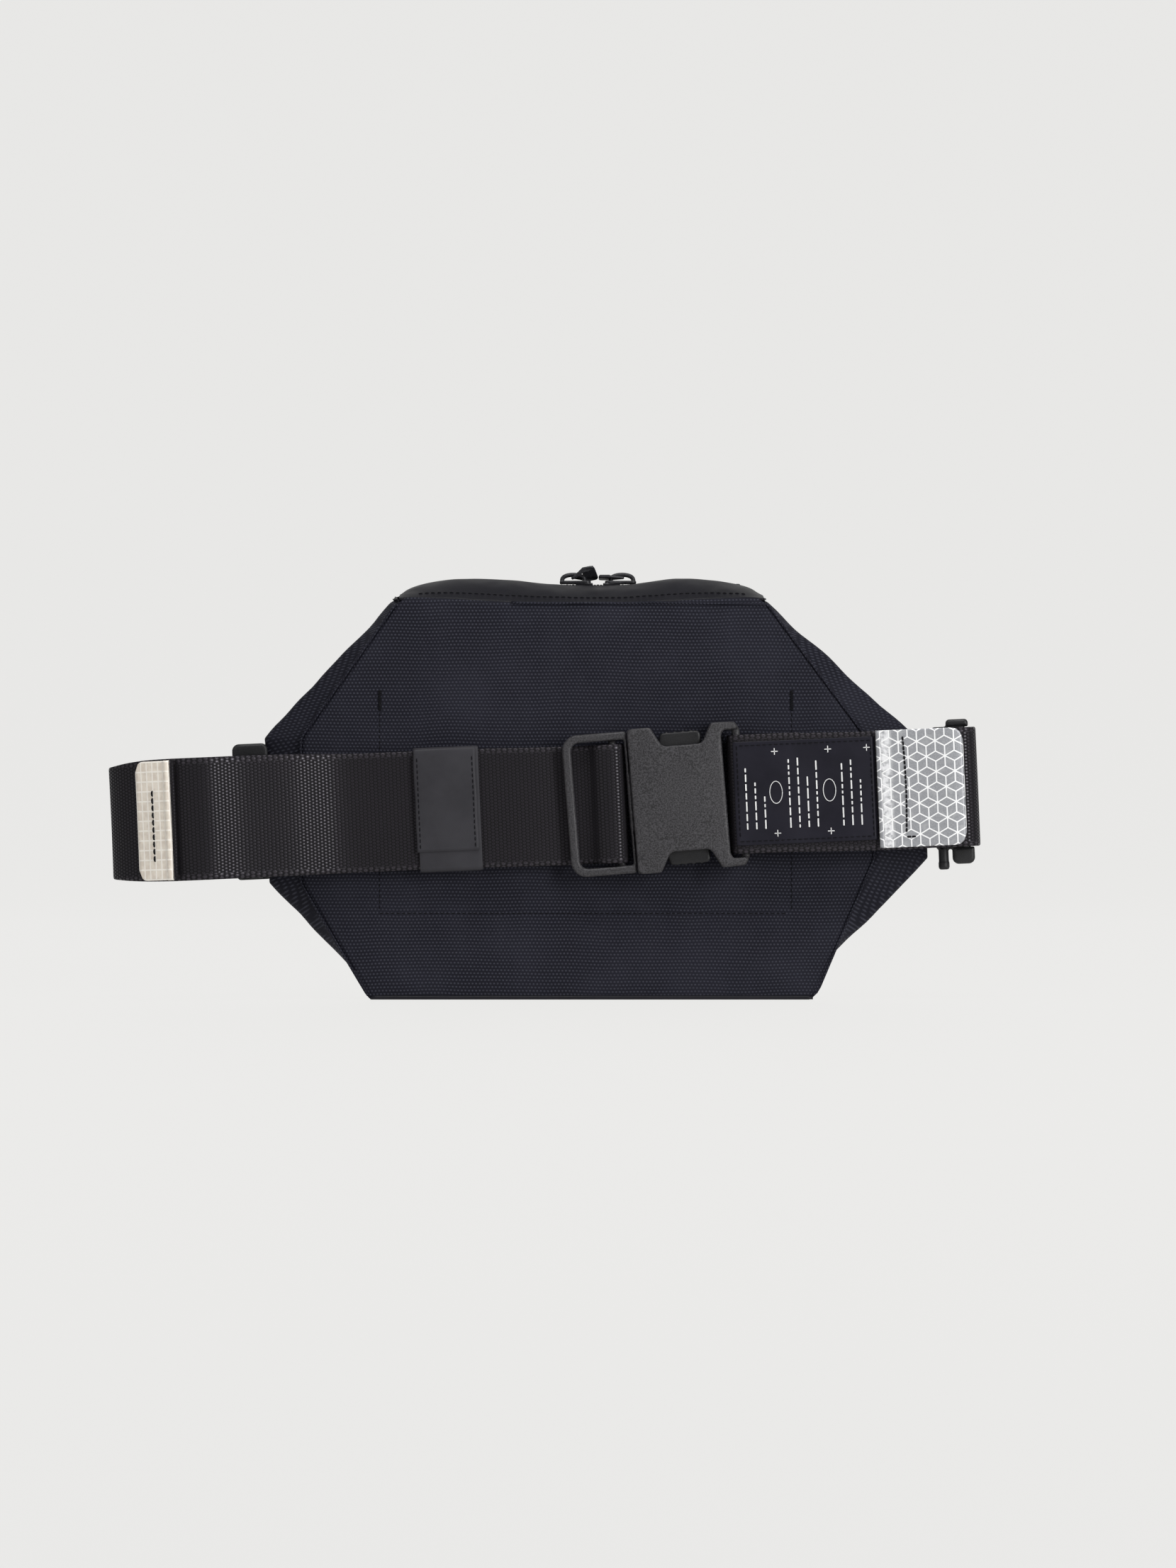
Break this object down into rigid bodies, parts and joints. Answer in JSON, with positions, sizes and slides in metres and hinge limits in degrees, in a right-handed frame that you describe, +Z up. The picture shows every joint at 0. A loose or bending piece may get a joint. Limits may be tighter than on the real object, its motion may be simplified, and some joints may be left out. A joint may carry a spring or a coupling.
{
  "type": "hip bag",
  "caption": "Zipped hip bag with a closed webbing waist belt, side-release buckle, webbing locks at the wing tips, an inner pocket and reflective strap ends.",
  "frame": {"origin": "on the flat base that the bag stands on, midway between its back and front panels", "axes": "+X along the belt to the buckle's female side, +Y from the back panel to the front, +Z up"},
  "size_m": [0.3615, 0.0918, 0.1818],
  "materials": {
    "back_fabric": "woven ripstop with a fine dotted row pattern, dark navy charcoal",
    "coated_fabric": "smooth matt coated tarpaulin",
    "lining": "thin smooth lining cloth",
    "thread": "dense dark thread",
    "webbing": "heavy woven belt webbing, black brown",
    "reflective_cream": "woven reflective tape, cream",
    "reflective_silver": "reflective tape with a printed tumbling-block line pattern, silver",
    "label_cloth": "smooth black printed label",
    "zip_plastic": "moulded acetal",
    "zip_metal": "matt black coated die casting",
    "buckle_plastic": "fine grained acetal, dark grey"
  },
  "bodies": {
    "root": {"bottom_panel": "coated_fabric", "back_panel": "back_fabric", "front_panel": "coated_fabric", "side_panel_left": "coated_fabric", "side_panel_right": "coated_fabric", "top_band_back": "coated_fabric", "inner_pocket": "lining", "pocket_bar_tacks": "thread", "bottom_piping": "coated_fabric", "zip_tape_back": "webbing", "zip_teeth_back": "zip_plastic", "zip_stop_left": "webbing", "zip_stop_right": "webbing", "wing_anchor_left": "webbing", "wing_anchor_right": "webbing", "strap_lock_left": "buckle_plastic", "strap_lock_right": "buckle_plastic", "strap_left": "webbing", "strap_right": "webbing", "reflective_tab_left": "reflective_cream", "reflective_tab_right": "reflective_silver", "strap_label": "label_cloth", "buckle_female": "buckle_plastic"},
    "front_lip": {"top_band_front": "coated_fabric", "zip_tape_front": "webbing", "zip_teeth_front": "zip_plastic"},
    "slider_left": {"zip_slider_left": "zip_metal"},
    "slider_right": {"zip_slider_right": "zip_metal"},
    "pull_left": {"zip_pull_left": "zip_metal"},
    "pull_right": {"zip_pull_right": "zip_metal"},
    "keeper": {"keeper_loop": "coated_fabric"},
    "buckle_tongue": {"buckle_male": "buckle_plastic"},
    "prong_up": {"prong_upper": "buckle_plastic"},
    "prong_down": {"prong_lower": "buckle_plastic"}
  },
  "joints": [
    {"name": "mouth_open", "type": "hinge", "parent": "root", "child": "front_lip", "pos_m": [0, 0.031, 0.1666], "axis": [-1, 0, 0], "range_deg": [0, 32], "deforming": ["zip_tape_front", "zip_teeth_front", "zip_teeth_back"]},
    {"name": "zip_slide_left", "type": "slide", "parent": "root", "child": "slider_left", "axis": [-1, 0, 0], "range_m": [0, 0.0516]},
    {"name": "zip_slide_right", "type": "slide", "parent": "root", "child": "slider_right", "axis": [1, 0, 0], "range_m": [0, 0.0412]},
    {"name": "pull_swing_left", "type": "hinge", "parent": "slider_left", "child": "pull_left", "pos_m": [-0.0052, 0, 0.17735], "axis": [0, -1, 0], "range_deg": [0, 130]},
    {"name": "pull_swing_right", "type": "hinge", "parent": "slider_right", "child": "pull_right", "pos_m": [0.0154, 0, 0.17735], "axis": [0, 1, 0], "range_deg": [0, 150]},
    {"name": "buckle_release", "type": "slide", "parent": "root", "child": "buckle_tongue", "axis": [-0.9966, 0, -0.0819], "range_m": [0, 0.034], "deforming": ["strap_left", "prong_upper", "prong_lower"]},
    {"name": "prong_press_upper", "type": "hinge", "parent": "buckle_tongue", "child": "prong_up", "pos_m": [0.02027, -0.039, 0.09764], "axis": [0, 1, 0], "range_deg": [0, 6], "stiffness_Nm_per_rad": 1.5},
    {"name": "prong_press_lower", "type": "hinge", "parent": "buckle_tongue", "child": "prong_down", "pos_m": [0.02272, -0.039, 0.06774], "axis": [0, -1, 0], "range_deg": [0, 6], "stiffness_Nm_per_rad": 1.5},
    {"name": "keeper_slide", "type": "slide", "parent": "root", "child": "keeper", "axis": [-0.999, 0, -0.0436], "range_m": [0, 0.014]}
  ],
  "couplings": [
    {"joint": "zip_slide_left", "follows": "mouth_open", "m_per_rad": 0.09221},
    {"joint": "zip_slide_right", "follows": "mouth_open", "m_per_rad": 0.073589}
  ]
}
